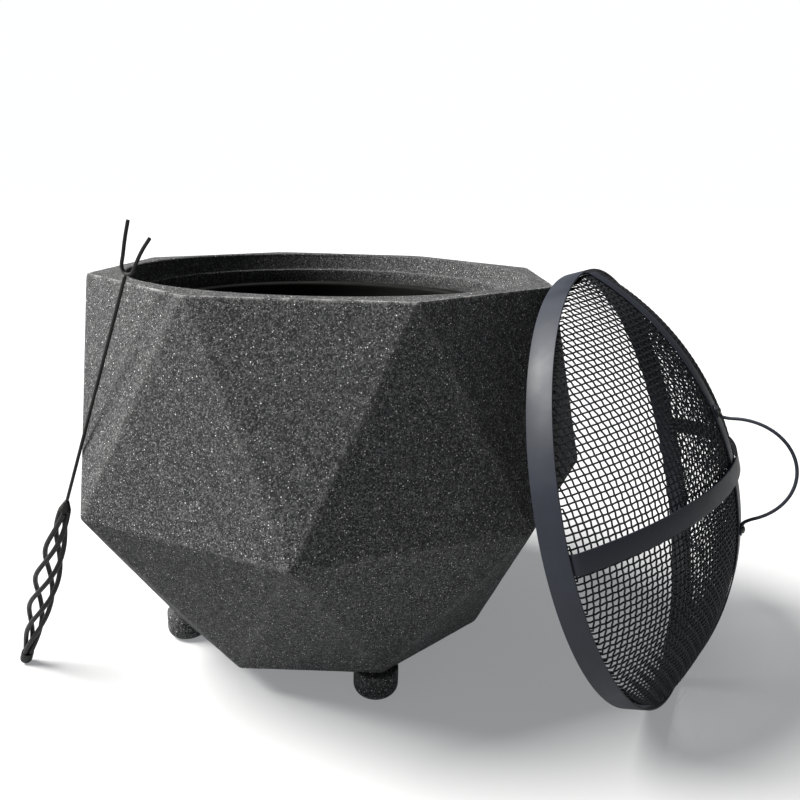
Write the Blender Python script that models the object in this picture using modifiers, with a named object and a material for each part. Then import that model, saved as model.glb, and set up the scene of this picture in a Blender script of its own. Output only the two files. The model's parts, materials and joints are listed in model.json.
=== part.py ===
"""Faceted stone-look fire pit with its fire bowl, log grate, spark screen and poker.

Metres, +Z up. The floor is z = 0 and the origin lies on it, under the middle of the whole group.
The spark screen leans against the pot on its +X side, and the poker leans on the rim on its -X side.
"""

import math

import bmesh
import bpy
from mathutils import Vector

GAP = 0.0003  # left between touching pieces
MERGE = 0.00001  # merge distance of every modifier that merges
TURN = 2 * math.pi
SMOOTH_BELOW = math.radians(35)

# Pot: three rings of corners, the waist turned half a step against the other two
SIDES = 8
STEP = TURN / SIDES
POT_X = -0.072
POT_Y = 0.001
RIM_Z = 0.430
RIM_RADIUS = 0.256
WAIST_Z = 0.212
WAIST_RADIUS = 0.300
BASE_Z = 0.032
BASE_RADIUS = 0.194
EDGE_ROUNDING = 0.003
WALL = 0.012
SHELF_THICKNESS = 0.012
POT_STEPS = 72

# Mouth of the pot: depths are below the rim
MOUTH_RADIUS = 0.2185
MOUTH_LIP = 0.003
STEP_DEPTH = 0.0205
STEP_RADIUS = 0.2128
STEP_WIDTH = 0.0052
SHELF_DEPTH = 0.0385
SHELF_RADIUS = 0.206
LEDGE_EDGE = 0.0018
THROAT_RADIUS = 0.190

# Feet
FOOT_RADIUS = 0.024
FOOT_PAD_RADIUS = 0.013
FOOT_ROUNDING = 0.011
FOOT_CIRCLE = 0.176

# Fire bowl
BOWL_STEEL = 0.0015
BOWL_FLANGE_RADIUS = 0.2045
BOWL_MOUTH_RADIUS = 0.1865
BOWL_NECK = 0.008
BOWL_DEPTH = 0.110
BOWL_FLOOR_RADIUS = 0.070
BOWL_CORNER = 0.003
BOWL_ROWS = 11

# Log grate
GRATE_RADIUS = 0.130
GRATE_STEPS = 48
GRATE_WIRE = 0.003  # radius of its ring and cross bars
GRATE_BAR = 0.0025  # radius of a bar
GRATE_BARS = 9
GRATE_PITCH = 0.026
GRATE_HEIGHT = 0.031  # ring's centre above the bowl's floor
GRATE_CROSS_X = 0.045
GRATE_LEG_Y = 0.042

# Spark screen, in its own frame: +Z is the dome's axis, -X runs up its slope
SCREEN_RADIUS = 0.230
SCREEN_AZIMUTH = math.radians(-28.5)
SCREEN_TILT = math.radians(18.1)
SCREEN_DISTANCE = 0.3221
SCREEN_SHIFT = 0.0777
HOOP_WIDTH = 0.024
HOOP_STEEL = 0.0018
DOME_RISE = 0.096
MESH_THICKNESS = 0.0024
MESH_SKIRT = 0.010
DOME_ROWS = 12
STRAP_WIDTH = 0.019
STRAP_STEEL = 0.0015
STRAP_TAB = 0.009
STRAP_BEND = 0.004
STRAP_ROWS = 14
HANDLE_WIRE = 0.0017
HANDLE_HALF_CHORD = 0.0535
HANDLE_RISE = 0.058
HANDLE_TOE = 0.0015  # its wire runs in this far towards the eye before it bends
HANDLE_STEPS = 12
BOLT_OFFSET = 0.062  # from the dome's axis, along the strap
BOLT_RADIUS = 0.0020
BOLT_HOLE = 0.0023
BOLT_HEAD_RADIUS = 0.0042
BOLT_HEAD_HEIGHT = 0.0026
BOLT_STEPS = 16
EYE_RADIUS = 0.0065
EYE_THICKNESS = 0.0016
NUT_RADIUS = 0.0045
NUT_HEIGHT = 0.0032
BOLT_END = 0.0012  # shank beyond the nut

# Poker, in its own frame: +Z runs from its foot to its fork
POKER_FOOT = (-0.3238, -0.1377)
POKER_AZIMUTH = math.radians(-23.7)
POKER_LEAN = math.radians(23.4)
POKER_END_RADIUS = 0.0064
CAGE_START = 0.0095
CAGE_LENGTH = 0.203
CAGE_WIRE = 0.0025
CAGE_END_RADIUS = 0.0038
CAGE_RADIUS = 0.0112
CAGE_TWIST = math.radians(400)
CAGE_BARS = 4
CAGE_STEPS = 27
COLLAR_LENGTH = 0.012
COLLAR_WALL = 0.0006
ROD_RADIUS = 0.0016
ROD_END = 0.4740
FORK_WIRE = 0.0016
FORK_HALF = [(0.0, 0.0), (0.0035, 0.0008), (0.0068, 0.0045), (0.0075, 0.0130), (0.0100, 0.0270)]
FORK_TIPS = ((-0.0115, 0.0440), (0.0145, 0.0400))

MATERIALS = {
    "stone": ((0.040, 0.042, 0.046), 0.85, 0.0),
    "bowl_steel": ((0.012, 0.012, 0.013), 0.55, 0.0),
    "grate_iron": ((0.030, 0.029, 0.028), 0.70, 0.6),
    "screen_paint": ((0.022, 0.026, 0.034), 0.42, 0.0),
    "mesh_wire": ((0.015, 0.017, 0.020), 0.50, 0.3),
    "poker_iron": ((0.014, 0.014, 0.016), 0.50, 0.2),
    "screw_steel": ((0.060, 0.062, 0.066), 0.40, 0.8),
}


def clear_scene():
    """Empty the scene that the script starts in."""
    for obj in list(bpy.data.objects):
        bpy.data.objects.remove(obj, do_unlink=True)


def new_collection(name):
    """A collection of that name in the scene."""
    collection = bpy.data.collections.new(name)
    bpy.context.scene.collection.children.link(collection)
    return collection


def new_material(name, colour, roughness, metallic):
    """A plain Principled material."""
    material = bpy.data.materials.new(name)
    material.use_nodes = True
    shader = material.node_tree.nodes["Principled BSDF"]
    shader.inputs["Base Color"].default_value = (*colour, 1.0)
    shader.inputs["Roughness"].default_value = roughness
    shader.inputs["Metallic"].default_value = metallic
    return material


def add_object(name, data, material, parent, location=(0, 0, 0), rotation=(0, 0, 0)):
    """An object for the data, in the parts' collection."""
    if data and not data.materials:
        data.materials.append(bpy.data.materials[material])
    obj = bpy.data.objects.new(name, data)
    bpy.data.collections["fire_pit"].objects.link(obj)
    obj.parent = parent
    obj.location = location
    obj.rotation_euler = rotation
    return obj


def as_cutter(obj):
    """Move an object from the parts to the cutters."""
    bpy.data.collections["fire_pit"].objects.unlink(obj)
    bpy.data.collections["cutters"].objects.link(obj)
    obj.hide_render = True
    obj.display_type = "WIRE"
    return obj


def add_frame(name, location, rotation=(0, 0, 0)):
    """An empty that carries a group of parts."""
    frame = bpy.data.objects.new(name, None)
    bpy.data.collections["fire_pit"].objects.link(frame)
    frame.location = location
    frame.rotation_euler = rotation
    return frame


def shape(obj, other, operation="DIFFERENCE"):
    """Cut the object with another, or join the other to it."""
    boolean = obj.modifiers.new(operation.title() + " " + other.name, "BOOLEAN")
    boolean.operation = operation
    boolean.solver = "EXACT"
    boolean.object = other
    return obj


def thicken(obj, thickness):
    """Give an open surface a thickness, half to each side."""
    solidify = obj.modifiers.new("Thickness", "SOLIDIFY")
    solidify.thickness = thickness
    solidify.offset = 0
    return obj


def turned(name, profile, material, parent, location=(0, 0, 0), steps=48, ring=False):
    """Turn a profile of (radius, height) points about the Z axis."""
    mesh = bpy.data.meshes.new(name)
    edges = [(i, i + 1) for i in range(len(profile) - 1)]
    if ring:
        edges.append((len(profile) - 1, 0))
    mesh.from_pydata([(radius, 0, height) for radius, height in profile], edges, [])
    obj = add_object(name, mesh, material, parent, location)
    screw = obj.modifiers.new("Turn", "SCREW")
    screw.axis = "Z"
    screw.steps = steps
    screw.render_steps = steps
    screw.use_merge_vertices = True
    screw.merge_threshold = MERGE
    screw.use_smooth_shade = True
    return obj


def arc(centre, radius, start, end, count):
    """Points of a circular arc in the profile plane, angles in degrees from the +radius side."""
    points = []
    for i in range(count + 1):
        angle = math.radians(start + (end - start) * i / count)
        points.append((centre[0] + radius * math.cos(angle), centre[1] + radius * math.sin(angle)))
    return points


def smoothed(points, rounds=2):
    """Cut a path's corners, so that a wire bends instead of kinking."""
    for _ in range(rounds):
        cut = [points[0]]
        for a, b in zip(points, points[1:]):
            a, b = Vector(a), Vector(b)
            cut += [a.lerp(b, 0.25), a.lerp(b, 0.75)]
        points = cut + [points[-1]]
    return points


def wire(name, points, radius, material, parent, closed=False, location=(0, 0, 0)):
    """A round wire along a path, with filled ends."""
    curve = bpy.data.curves.new(name, "CURVE")
    curve.dimensions = "3D"
    curve.bevel_depth = radius
    curve.bevel_resolution = 2
    curve.use_fill_caps = not closed
    spline = curve.splines.new("POLY")
    spline.points.add(len(points) - 1)
    for point, place in zip(spline.points, points):
        point.co = (*place, 1)
    spline.use_cyclic_u = closed
    spline.use_smooth = True
    return add_object(name, curve, material, parent, location)


def strip(name, path, width, thickness, material, parent, azimuth):
    """A flat strip of metal bent along a path of (distance, height) points."""
    curve = bpy.data.curves.new(name, "CURVE")
    curve.dimensions = "2D"
    curve.fill_mode = "NONE"
    curve.extrude = width / 2
    spline = curve.splines.new("POLY")
    spline.points.add(len(path) - 1)
    for point, place in zip(spline.points, path):
        point.co = (*place, 0, 1)
    rotation = (math.pi / 2, 0, azimuth)
    obj = add_object(name, curve, material, parent, rotation=rotation)
    return thicken(obj, thickness)


def as_mesh(obj):
    """Swap a curve object for a mesh one of the same shape, which a Boolean can cut."""
    bpy.context.view_layer.update()
    graph = bpy.context.evaluated_depsgraph_get()
    mesh = bpy.data.meshes.new_from_object(obj.evaluated_get(graph))
    weld = bmesh.new()
    weld.from_mesh(mesh)
    bmesh.ops.remove_doubles(weld, verts=weld.verts, dist=MERGE)
    bmesh.ops.recalc_face_normals(weld, faces=weld.faces)
    weld.to_mesh(mesh)
    weld.free()
    name, parent, place = obj.name, obj.parent, obj.matrix_world.copy()
    material = mesh.materials[0].name
    bpy.data.objects.remove(obj, do_unlink=True)
    swapped = add_object(name, mesh, material, parent)
    swapped.matrix_world = place
    return swapped


def prism(name, radius, height, sides, material, parent, location=(0, 0, 0), rotation=(0, 0, 0)):
    """A cylinder or prism centred on its location."""
    mesh = bpy.data.meshes.new(name)
    solid = bmesh.new()
    bmesh.ops.create_cone(
        solid, cap_ends=True, segments=sides, radius1=radius, radius2=radius, depth=height
    )
    solid.to_mesh(mesh)
    solid.free()
    return add_object(name, mesh, material, parent, location, rotation)


def faceted(name, rings, material, parent):
    """The solid stretched over rings of corners, each (radius, height, azimuth of one corner)."""
    mesh = bpy.data.meshes.new(name)
    solid = bmesh.new()
    for radius, height, start in rings:
        for k in range(SIDES):
            angle = start + k * STEP
            solid.verts.new((radius * math.cos(angle), radius * math.sin(angle), height))
    bmesh.ops.convex_hull(solid, input=solid.verts)
    flat = math.radians(0.5)
    bmesh.ops.dissolve_limit(solid, angle_limit=flat, verts=solid.verts, edges=solid.edges)
    bmesh.ops.recalc_face_normals(solid, faces=solid.faces)
    solid.to_mesh(mesh)
    solid.free()
    return add_object(name, mesh, material, parent)


def mouth_profile():
    """Outline of the space inside the mouth, from above the rim down to the throat."""
    above = 0.02
    lip = arc((MOUTH_RADIUS + MOUTH_LIP, RIM_Z - MOUTH_LIP), MOUTH_LIP, 90, 180, 4)
    step_z = RIM_Z - STEP_DEPTH
    inner = STEP_RADIUS - STEP_WIDTH
    edge = LEDGE_EDGE
    return [
        (0, RIM_Z + above),
        (MOUTH_RADIUS + MOUTH_LIP, RIM_Z + above),
        *lip,
        (STEP_RADIUS, step_z + edge / 2),
        (STEP_RADIUS - edge / 2, step_z),
        (inner + edge, step_z - edge / 4),
        *arc((inner + edge, step_z - edge * 1.25), edge, 120, 180, 2),
        (SHELF_RADIUS, RIM_Z - SHELF_DEPTH),
        (THROAT_RADIUS, RIM_Z - SHELF_DEPTH),
        (THROAT_RADIUS, RIM_Z - SHELF_DEPTH - 2 * SHELF_THICKNESS),
        (0, RIM_Z - SHELF_DEPTH - 2 * SHELF_THICKNESS),
    ]


def build_pot(frame):
    """The hollow faceted pot and its four feet."""
    half = STEP / 2
    outer = [
        (RIM_RADIUS, RIM_Z, half),
        (WAIST_RADIUS, WAIST_Z, 0),
        (BASE_RADIUS, BASE_Z, half),
    ]
    inner = [
        (RIM_RADIUS - WALL, RIM_Z - SHELF_DEPTH - SHELF_THICKNESS, half),
        (WAIST_RADIUS - WALL, WAIST_Z, 0),
        (BASE_RADIUS - WALL, BASE_Z + WALL, half),
    ]
    shell = faceted("pot_shell", outer, "stone", frame)
    bevel = shell.modifiers.new("Soft edges", "BEVEL")
    bevel.width = EDGE_ROUNDING
    bevel.segments = 2
    bevel.limit_method = "ANGLE"
    bevel.angle_limit = math.radians(5)
    shape(shell, as_cutter(faceted("hollow_cutter", inner, "stone", frame)))
    mouth = turned("mouth_cutter", mouth_profile(), "stone", frame, steps=POT_STEPS)
    shape(shell, as_cutter(mouth))
    build_feet(frame)


def build_feet(frame):
    """Four round feet under every other corner of the base, with softly rounded bottoms."""
    top = BASE_Z - GAP
    profile = [(0, top), (FOOT_RADIUS - 0.001, top)]
    profile += arc((FOOT_RADIUS - FOOT_ROUNDING, FOOT_ROUNDING), FOOT_ROUNDING, 0, -90, 6)
    profile[-1] = (FOOT_PAD_RADIUS, 0)
    profile.append((0, 0))
    for k, name in enumerate(("right", "back", "left", "front")):
        angle = STEP / 2 + 2 * k * STEP
        place = (FOOT_CIRCLE * math.cos(angle), FOOT_CIRCLE * math.sin(angle), 0)
        turned("foot_" + name, profile, "stone", frame, place, steps=28)


def bowl_wall(angle):
    """Radius and height of the fire bowl's curved wall, 0 at its top and 90 degrees at its floor."""
    radius = BOWL_FLOOR_RADIUS + (BOWL_MOUTH_RADIUS - BOWL_FLOOR_RADIUS) * math.cos(angle)
    return radius, bowl_top() - BOWL_NECK - BOWL_DEPTH * math.sin(angle)


def bowl_top():
    """Height of the middle of the fire bowl's flange, which rests on the pot's shelf."""
    return RIM_Z - SHELF_DEPTH + GAP + BOWL_STEEL / 2


def bowl_floor():
    """Height of the fire bowl's floor, inside."""
    return bowl_top() - BOWL_NECK - BOWL_DEPTH + BOWL_STEEL / 2


def build_fire_bowl(frame):
    """The pressed steel bowl that drops into the mouth."""
    bend = BOWL_MOUTH_RADIUS + BOWL_CORNER
    profile = [(BOWL_FLANGE_RADIUS, bowl_top()), (bend, bowl_top())]
    profile += arc((bend, bowl_top() - BOWL_CORNER), BOWL_CORNER, 112, 180, 3)
    profile += [bowl_wall(math.pi / 2 * i / BOWL_ROWS) for i in range(BOWL_ROWS + 1)]
    profile.append((0, bowl_top() - BOWL_NECK - BOWL_DEPTH))
    bowl = turned("fire_bowl", profile, "bowl_steel", frame, steps=POT_STEPS)
    thicken(bowl, BOWL_STEEL)


def chord(radius, offset):
    """Half the length of a circle's chord at a distance from its centre."""
    return math.sqrt(radius**2 - offset**2)


def rod(name, start, end, radius, material, parent):
    """A straight round rod between two points."""
    start, end = Vector(start), Vector(end)
    obj = prism(name, radius, (end - start).length, 10, material, parent, (start + end) / 2)
    obj.rotation_euler = (end - start).to_track_quat("Z", "Y").to_euler()
    return obj


def build_grate(frame):
    """Round welded log grate: a ring, bars across it, two cross bars and four legs."""
    z = bowl_floor() + GRATE_HEIGHT
    angles = [TURN * i / GRATE_STEPS for i in range(GRATE_STEPS)]
    ring = [(GRATE_RADIUS * math.cos(a), GRATE_RADIUS * math.sin(a), z) for a in angles]
    wire("grate_ring", ring, GRATE_WIRE, "grate_iron", frame, closed=True)
    bar_z = z + GRATE_WIRE + GRATE_BAR + GAP
    for i in range(GRATE_BARS):
        y = (i - (GRATE_BARS - 1) / 2) * GRATE_PITCH
        half = chord(GRATE_RADIUS + GRATE_WIRE / 2, y)
        rod(f"grate_bar_{i + 1}", (-half, y, bar_z), (half, y, bar_z), GRATE_BAR, "grate_iron", frame)
    reach = chord(GRATE_RADIUS - GRATE_WIRE, GRATE_CROSS_X + GRATE_WIRE) - GAP
    leg_bottom = bowl_floor() + GAP
    leg_top = z - GRATE_WIRE - GAP
    for side, x in (("left", -GRATE_CROSS_X), ("right", GRATE_CROSS_X)):
        name = "grate_cross_bar_" + side
        rod(name, (x, -reach, z), (x, reach, z), GRATE_WIRE, "grate_iron", frame)
        for end, y in (("front", -GRATE_LEG_Y), ("back", GRATE_LEG_Y)):
            name = f"grate_leg_{side}_{end}"
            rod(name, (x, y, leg_bottom), (x, y, leg_top), GRATE_WIRE, "grate_iron", frame)


def dome_radius(base):
    """Radius of the sphere through the dome's base circle and its crown."""
    return (base**2 + DOME_RISE**2) / (2 * DOME_RISE)


def layers():
    """Radii that stack up at the hoop: the straps' middle, then the mesh's middle."""
    strap = chord(SCREEN_RADIUS - HOOP_STEEL, STRAP_WIDTH / 2) - 2 * GAP - STRAP_STEEL / 2
    mesh = strap - STRAP_STEEL / 2 - GAP - MESH_THICKNESS / 2
    return strap, mesh


def dome_centre():
    """Radius of the mesh's sphere and the height of its centre in the screen's frame."""
    radius = dome_radius(layers()[1])
    return radius, HOOP_WIDTH + DOME_RISE - radius


def dome_arc(radius, base, count):
    """Angles from the crown to where a sphere of that radius is base away from the axis."""
    end = math.asin(base / radius)
    return [end * i / count for i in range(count + 1)]


def strap_path(lift):
    """Side view of a strap that lies on the dome, with its ends tucked into the hoop."""
    sphere, centre = dome_centre()
    radius = sphere + MESH_THICKNESS / 2 + lift + STRAP_STEEL / 2
    base = layers()[0]
    side = [
        (radius * math.sin(a), centre + radius * math.cos(a))
        for a in dome_arc(radius, base, STRAP_ROWS)
    ]
    side += [(base, side[-1][1] - STRAP_BEND), (base, HOOP_WIDTH - STRAP_TAB)]
    mirrored = [(-x, z) for x, z in reversed(side[1:])]
    return mirrored + side


def on_strap(along, height):
    """Point and turn of something on the upright strap, along metres from the dome's axis."""
    sphere, centre = dome_centre()
    angle = math.asin(along / sphere)
    radius = sphere + height
    return (radius * math.sin(angle), 0, centre + radius * math.cos(angle)), (0, angle, 0)


def build_dome(frame):
    """The hoop and the mesh of the spark screen."""
    inner = SCREEN_RADIUS - HOOP_STEEL
    profile = [(SCREEN_RADIUS, HOOP_WIDTH), (SCREEN_RADIUS, 0), (inner, 0), (inner, HOOP_WIDTH)]
    hoop = turned("screen_hoop", profile, "screen_paint", frame, steps=96, ring=True)
    bevel = hoop.modifiers.new("Eased edges", "BEVEL")
    bevel.width = 0.0004
    bevel.segments = 1
    bevel.limit_method = "ANGLE"
    sphere, centre = dome_centre()
    base = layers()[1]
    angles = dome_arc(sphere, base, DOME_ROWS)
    dome = [(sphere * math.sin(a), centre + sphere * math.cos(a)) for a in reversed(angles)]
    dome.insert(0, (base, HOOP_WIDTH - MESH_SKIRT))
    mesh = turned("screen_mesh", dome, "mesh_wire", frame, steps=64)
    return thicken(mesh, MESH_THICKNESS)


def build_straps(frame):
    """Two straps crossed on the dome: the level one lies over the upright one."""
    path = strap_path(GAP)
    args = (STRAP_WIDTH, STRAP_STEEL, "screen_paint", frame)
    upright = strip("screen_strap_upright", path, *args, 0)
    over = strap_path(STRAP_STEEL + 3 * GAP)
    strip("screen_strap_level", over, *args, math.pi / 2)
    return as_mesh(upright)


def handle_path(eye_height):
    """The handle's wire, from one bolt to the other over the crown."""
    foot = BOLT_OFFSET - BOLT_HEAD_RADIUS - 2 * GAP
    wire_height = eye_height + HANDLE_WIRE + 0.0002
    (x, _, z), _ = on_strap(foot, wire_height)
    (bend_x, _, bend_z), _ = on_strap(HANDLE_HALF_CHORD + HANDLE_TOE, wire_height)
    side = [(x, 0, z), (bend_x, 0, bend_z)]
    for i in range(1, HANDLE_STEPS):
        angle = math.pi / 2 * i / HANDLE_STEPS
        side.append(
            (HANDLE_HALF_CHORD * math.cos(angle), 0, bend_z + HANDLE_RISE * math.sin(angle))
        )
    crown = [(0, 0, bend_z + HANDLE_RISE)]
    return side + crown + [(-x, y, z) for x, y, z in reversed(side)]


def build_handle(frame, strap, mesh):
    """The wire handle with its flattened eyes, and the bolts and nuts that hold it."""
    eye_height = MESH_THICKNESS / 2 + GAP + STRAP_STEEL + GAP
    path = smoothed(handle_path(eye_height), 1)
    handle = as_mesh(wire("screen_handle", path, HANDLE_WIRE, "screen_paint", frame))
    for side, along in (("upper", -BOLT_OFFSET), ("lower", BOLT_OFFSET)):
        place, turn = on_strap(along, eye_height + EYE_THICKNESS / 2)
        args = (EYE_RADIUS, EYE_THICKNESS, 24, "screen_paint", frame, place, turn)
        eye = prism(f"eye_{side}", *args)
        shape(handle, as_cutter(eye), "UNION")
        bore = prism(f"bore_{side}", BOLT_HOLE, 0.03, 16, "screw_steel", frame, place, turn)
        as_cutter(bore)
        place, turn = on_strap(along, -MESH_THICKNESS / 2 - GAP - NUT_HEIGHT / 2)
        args = (NUT_RADIUS, NUT_HEIGHT, 6, "screw_steel", frame, place, turn)
        nut = prism(f"screen_nut_{side}", *args)
        for piece in (handle, strap, mesh, nut):
            shape(piece, bore)
        build_bolt(f"screen_bolt_{side}", frame, along, eye_height + EYE_THICKNESS + GAP)


def build_bolt(name, frame, along, head_height):
    """A round-headed bolt through the strap, the mesh and the nut."""
    shank = head_height + MESH_THICKNESS / 2 + GAP + NUT_HEIGHT + BOLT_END
    crown = [
        (BOLT_HEAD_RADIUS * math.sin(a), BOLT_HEAD_HEIGHT * math.cos(a))
        for a in (math.pi / 2 * i / 5 for i in range(5))
    ]
    profile = crown + [(BOLT_HEAD_RADIUS, 0), (BOLT_RADIUS, 0), (BOLT_RADIUS, -shank), (0, -shank)]
    bolt = turned(name, profile, "screw_steel", frame, steps=BOLT_STEPS)
    bolt.location, bolt.rotation_euler = on_strap(along, head_height)


def cage_point(turn, fraction):
    """Point on a twisted bar of the basket handle, at a fraction of its length."""
    swell = math.sin(math.pi * fraction) ** 1.3
    radius = CAGE_END_RADIUS + (CAGE_RADIUS - CAGE_END_RADIUS) * swell
    angle = turn + CAGE_TWIST * fraction
    z = CAGE_START + 2 * GAP + CAGE_LENGTH * fraction
    return radius * math.cos(angle), radius * math.sin(angle), z


def build_poker(frame):
    """Twisted basket handle, rod and fork."""
    cap = [(0, CAGE_START), (POKER_END_RADIUS, CAGE_START)]
    cap += arc((0, 0), POKER_END_RADIUS, 0, -90, 6)
    cap[-1] = (0, -POKER_END_RADIUS)
    turned("poker_end_cap", cap, "poker_iron", frame, steps=20)
    for k in range(CAGE_BARS):
        turn = TURN * k / CAGE_BARS
        path = [cage_point(turn, i / CAGE_STEPS) for i in range(CAGE_STEPS + 1)]
        wire(f"poker_cage_bar_{k + 1}", path, CAGE_WIRE, "poker_iron", frame)
    low = CAGE_START + CAGE_LENGTH + 4 * GAP
    high = low + COLLAR_LENGTH
    collar = [(0, high), (ROD_RADIUS + COLLAR_WALL, high), (POKER_END_RADIUS, low), (0, low)]
    turned("poker_collar", collar, "poker_iron", frame, steps=20)
    rod("poker_rod", (0, 0, high + GAP), (0, 0, ROD_END), ROD_RADIUS, "poker_iron", frame)
    base = ROD_END + GAP + FORK_WIRE
    right = [(x, 0, base + z) for x, z in FORK_HALF + [FORK_TIPS[1]]]
    left = [(-x, 0, base + z) for x, z in FORK_HALF[1:] + [(-FORK_TIPS[0][0], FORK_TIPS[0][1])]]
    path = smoothed(list(reversed(left)) + right)
    wire("poker_fork", path, FORK_WIRE, "poker_iron", frame)


def screen_frame():
    """Frame of the spark screen, leaning on the pot with its hoop on the floor."""
    cos, sin = math.cos(SCREEN_AZIMUTH), math.sin(SCREEN_AZIMUTH)
    x = POT_X + SCREEN_DISTANCE * cos - SCREEN_SHIFT * sin
    y = POT_Y + SCREEN_DISTANCE * sin + SCREEN_SHIFT * cos
    z = SCREEN_RADIUS * math.cos(SCREEN_TILT)
    return add_frame("screen_frame", (x, y, z), (0, math.pi / 2 - SCREEN_TILT, SCREEN_AZIMUTH))


def poker_frame():
    """Frame of the poker, leaning on the rim with its end on the floor."""
    place = (POT_X + POKER_FOOT[0], POT_Y + POKER_FOOT[1], POKER_END_RADIUS)
    return add_frame("poker_frame", place, (0, POKER_LEAN, POKER_AZIMUTH))


def shade():
    """Smooth shading on the pieces' round faces, with sharp edges kept."""
    for obj in bpy.data.collections["fire_pit"].objects:
        if obj.type == "MESH" and obj.data.polygons:
            obj.data.shade_smooth()
            obj.data.set_sharp_from_angle(angle=SMOOTH_BELOW)


def main():
    """Build the whole group."""
    clear_scene()
    new_collection("fire_pit")
    new_collection("cutters").hide_render = True
    for name, (colour, roughness, metallic) in MATERIALS.items():
        new_material(name, colour, roughness, metallic)
    pot = add_frame("pot_frame", (POT_X, POT_Y, 0))
    build_pot(pot)
    build_fire_bowl(pot)
    build_grate(pot)
    screen = screen_frame()
    mesh = build_dome(screen)
    strap = build_straps(screen)
    build_handle(screen, strap, mesh)
    build_poker(poker_frame())
    shade()


main()
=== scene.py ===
"""Looks of the faceted fire pit with its fire bowl, log grate, spark screen and poker."""

import json
import math

import bmesh
import bpy
import numpy as np
from mathutils import Matrix, Vector, noise


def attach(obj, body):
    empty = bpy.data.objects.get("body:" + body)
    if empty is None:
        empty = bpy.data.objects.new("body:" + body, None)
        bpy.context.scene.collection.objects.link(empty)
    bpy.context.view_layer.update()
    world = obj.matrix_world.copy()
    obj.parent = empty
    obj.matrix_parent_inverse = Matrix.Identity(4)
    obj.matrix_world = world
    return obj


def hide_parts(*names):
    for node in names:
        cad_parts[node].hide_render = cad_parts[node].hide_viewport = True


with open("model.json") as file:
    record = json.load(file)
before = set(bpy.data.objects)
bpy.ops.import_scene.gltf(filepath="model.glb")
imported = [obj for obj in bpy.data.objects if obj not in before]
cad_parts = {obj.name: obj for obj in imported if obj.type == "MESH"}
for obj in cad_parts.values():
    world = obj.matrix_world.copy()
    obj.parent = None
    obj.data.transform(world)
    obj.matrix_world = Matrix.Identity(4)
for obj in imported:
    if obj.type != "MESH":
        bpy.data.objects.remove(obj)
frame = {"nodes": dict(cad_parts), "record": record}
bpy.context.view_layer.update()
NODES = frame["nodes"]

TURN = 2 * math.pi

# How far a drawn surface stays inside its CAD solid
INSET, DEEP_INSET = 0.00002, 0.00003

# Pot, as the CAD has it
POT = Vector((-0.072, 0.001, 0.0))
SIDES = 8
STEP = TURN / SIDES
RIM_Z, RIM_RADIUS = 0.430, 0.256
WAIST_Z, WAIST_RADIUS = 0.212, 0.300
BASE_Z, BASE_RADIUS = 0.032, 0.194
MOUTH_RADIUS, MOUTH_LIP = 0.2185, 0.003
STEP_DEPTH, STEP_RADIUS, STEP_WIDTH = 0.0205, 0.2128, 0.0052
SHELF_DEPTH, SHELF_RADIUS = 0.0385, 0.206
THROAT_RADIUS = 0.190
FOOT_CIRCLE, FOOT_RADIUS, FOOT_ROUNDING, FOOT_AROUND = 0.176, 0.024, 0.011, 72
POT_AROUND, POT_ROWS, QUICK_AROUND, QUICK_ROWS = 880, 62, 320, 30
RIM_LAND = MOUTH_RADIUS + MOUTH_LIP + 0.006

# Casting: softness and reach of an edge, its paleness on a facet's ridge (wear and a painted highlight), the
# depth of the rim's painted highlight, and (size, depth) of waves
EDGE_SOFTNESS, EDGE_REACH, RIDGE_WEAR_AND_HIGHLIGHT, RIM_HIGHLIGHT_DEPTH = 0.00045, 0.0016, 0.16, 0.0030
WAVES = ((0.060, 0.0006), (0.017, 0.00030), (0.006, 0.00012))
WALL = 0.012

# Fire bowl and grate
BOWL_TOP = RIM_Z - SHELF_DEPTH + 0.0003 + 0.00075
BOWL_FLANGE, BOWL_MOUTH, BOWL_NECK = 0.2045, 0.1865, 0.008
BOWL_DEPTH, BOWL_FLOOR_RADIUS, BOWL_STEEL = 0.110, 0.070, 0.0015
BOWL_FLOOR = BOWL_TOP - BOWL_NECK - BOWL_DEPTH + BOWL_STEEL / 2
BOWL_BEND, BOWL_ROWS, BOWL_AROUND = 0.003, 44, 256
GRATE_RADIUS, GRATE_WIRE, GRATE_BAR = 0.130, 0.003, 0.0025
GRATE_BARS, GRATE_PITCH, GRATE_HEIGHT = 9, 0.026, 0.031
GRATE_CROSS_X, GRATE_LEG_Y = 0.045, 0.042

# Spark screen: its own frame has +Z as the dome's axis and -X up its slope
SCREEN_RADIUS, HOOP_STEEL, HOOP_WIDTH, DOME_RISE = 0.230, 0.0018, 0.024, 0.096
SCREEN_AZIMUTH, SCREEN_TILT = math.radians(-28.5), math.radians(18.1)
SCREEN_DISTANCE, SCREEN_SHIFT = 0.3221, 0.0777
STRAP_WIDTH, STRAP_STEEL, GAP = 0.019, 0.0015, 0.0003
SHELL_THICKNESS = 0.0024
WIRE, PITCH, CRIMP, SKIRT = 0.00082, 0.0061, 0.72, 0.0085
HOOP_AROUND, SPOT_AROUND = 288, 16
HANDLE_WIRE, HANDLE_HALF_CHORD, HANDLE_RISE = 0.0017, 0.0535, 0.058
BOLT_OFFSET, EYE_RADIUS, EYE_THICKNESS = 0.062, 0.0065, 0.0016

# Poker: its own frame has +Z from its foot to its fork
POKER_FOOT = Vector((-0.3238, -0.1377, 0.0064))
POKER_AZIMUTH, POKER_LEAN = math.radians(-23.7), math.radians(23.4)
POKER_END = 0.0064
CAGE_START, CAGE_LENGTH, CAGE_WIRE = 0.0095, 0.203, 0.0025
CAGE_END_RADIUS, CAGE_RADIUS, CAGE_TWIST, CAGE_BARS = 0.0038, 0.0112, math.radians(400), 4
ROD_RADIUS, ROD_END, COLLAR_LENGTH = 0.0016, 0.4740, 0.012
CAGE_STEPS, TURNED_AROUND = 120, 40

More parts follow.
